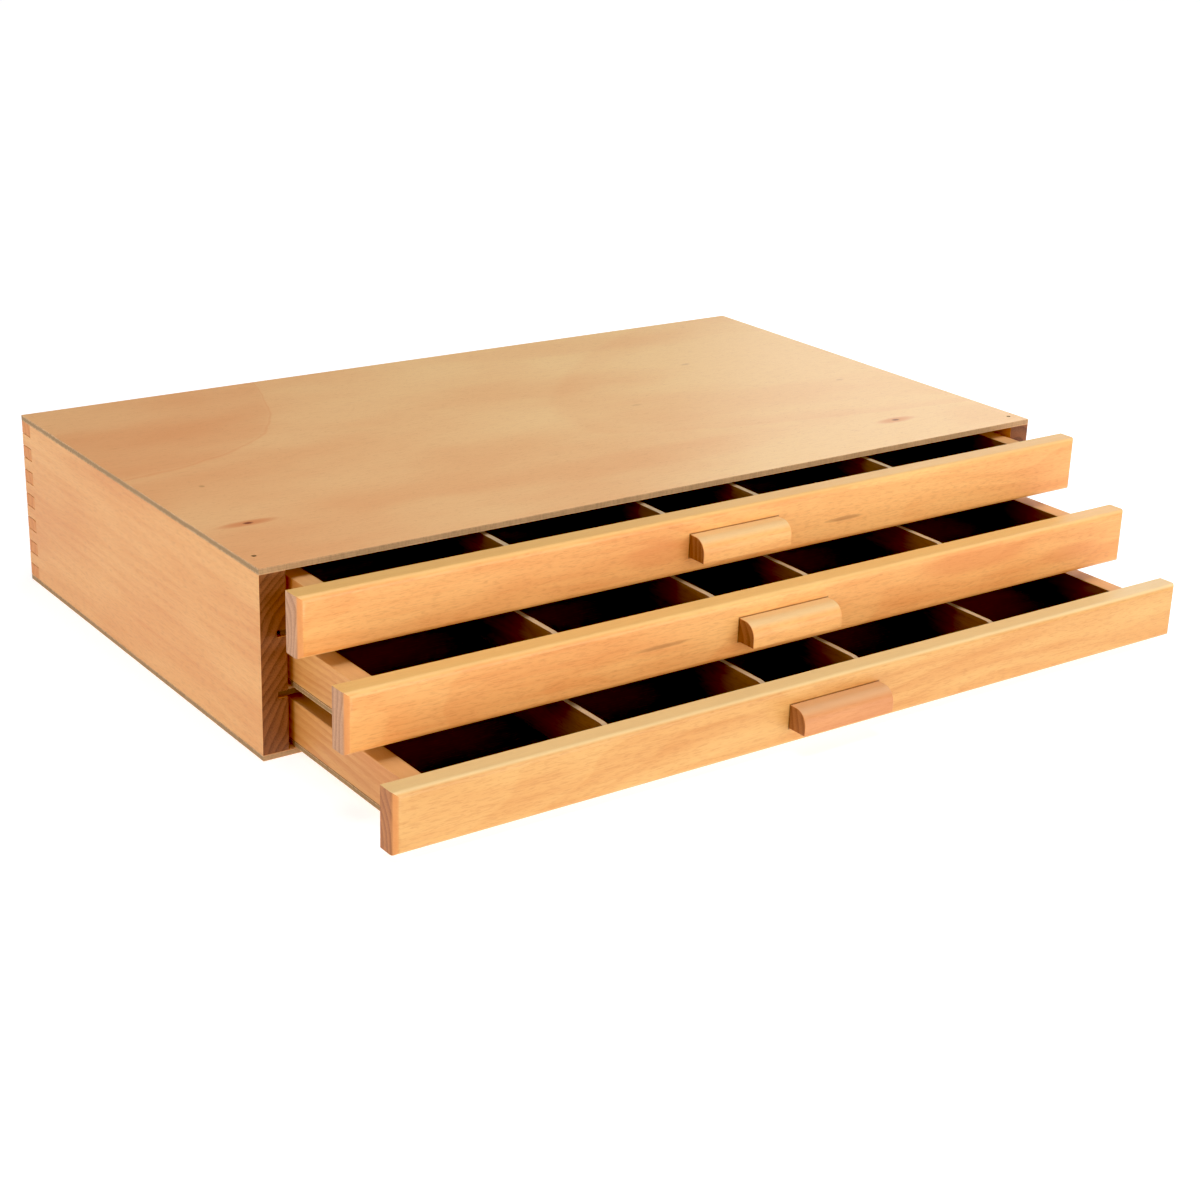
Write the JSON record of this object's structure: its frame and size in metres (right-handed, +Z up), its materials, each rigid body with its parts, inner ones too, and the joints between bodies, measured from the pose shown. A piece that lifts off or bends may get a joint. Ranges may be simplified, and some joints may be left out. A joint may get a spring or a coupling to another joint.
{
  "type": "three-drawer type case",
  "caption": "Low wooden tabletop chest with shallow drawers, each split by thin dividers into long trays, with a small block handle on each drawer front.",
  "frame": {"origin": "centre of the carcass's underside, where it rests on a table", "axes": "+Z up, -Y out of the drawer fronts, +X along the chest's width to the right of someone facing the drawers"},
  "size_m": [0.4, 0.337, 0.078],
  "materials": {
    "side_beech": "satin clear-coated beech",
    "front_beech": "satin clear-coated beech",
    "handle_beech": "satin clear-coated beech",
    "panel_plywood": "satin clear-coated plywood",
    "inner_plywood": "matt plywood",
    "drawer_beech": "matt beech",
    "divider_wood": "matt thin wood strip",
    "brad_steel": "dull steel"
  },
  "bodies": {
    "carcass": {"bottom_panel": "panel_plywood", "top_panel": "panel_plywood", "left_side": "side_beech", "right_side": "side_beech", "back_board": "side_beech", "lower_shelf": "inner_plywood", "upper_shelf": "inner_plywood", "top_brad_left": "brad_steel", "top_brad_right": "brad_steel"},
    "top_drawer": {"top_front": "front_beech", "top_handle": "handle_beech", "top_left_rail": "drawer_beech", "top_right_rail": "drawer_beech", "top_back_rail": "drawer_beech", "top_tray_bottom": "inner_plywood", "top_divider_1": "divider_wood", "top_divider_2": "divider_wood", "top_divider_3": "divider_wood", "top_divider_4": "divider_wood"},
    "middle_drawer": {"middle_front": "front_beech", "middle_handle": "handle_beech", "middle_left_rail": "drawer_beech", "middle_right_rail": "drawer_beech", "middle_back_rail": "drawer_beech", "middle_tray_bottom": "inner_plywood", "middle_divider_1": "divider_wood", "middle_divider_2": "divider_wood", "middle_divider_3": "divider_wood", "middle_divider_4": "divider_wood"},
    "bottom_drawer": {"bottom_front": "front_beech", "bottom_handle": "handle_beech", "bottom_left_rail": "drawer_beech", "bottom_right_rail": "drawer_beech", "bottom_back_rail": "drawer_beech", "bottom_tray_bottom": "inner_plywood", "bottom_divider_1": "divider_wood", "bottom_divider_2": "divider_wood", "bottom_divider_3": "divider_wood", "bottom_divider_4": "divider_wood"}
  },
  "joints": [
    {"name": "top_drawer_slide", "type": "slide", "parent": "carcass", "child": "top_drawer", "axis": [0, -1, 0], "range_m": [-0.0205, 0.14925]},
    {"name": "middle_drawer_slide", "type": "slide", "parent": "carcass", "child": "middle_drawer", "axis": [0, -1, 0], "range_m": [-0.05425, 0.1155]},
    {"name": "bottom_drawer_slide", "type": "slide", "parent": "carcass", "child": "bottom_drawer", "axis": [0, -1, 0], "range_m": [-0.08775, 0.082]}
  ]
}
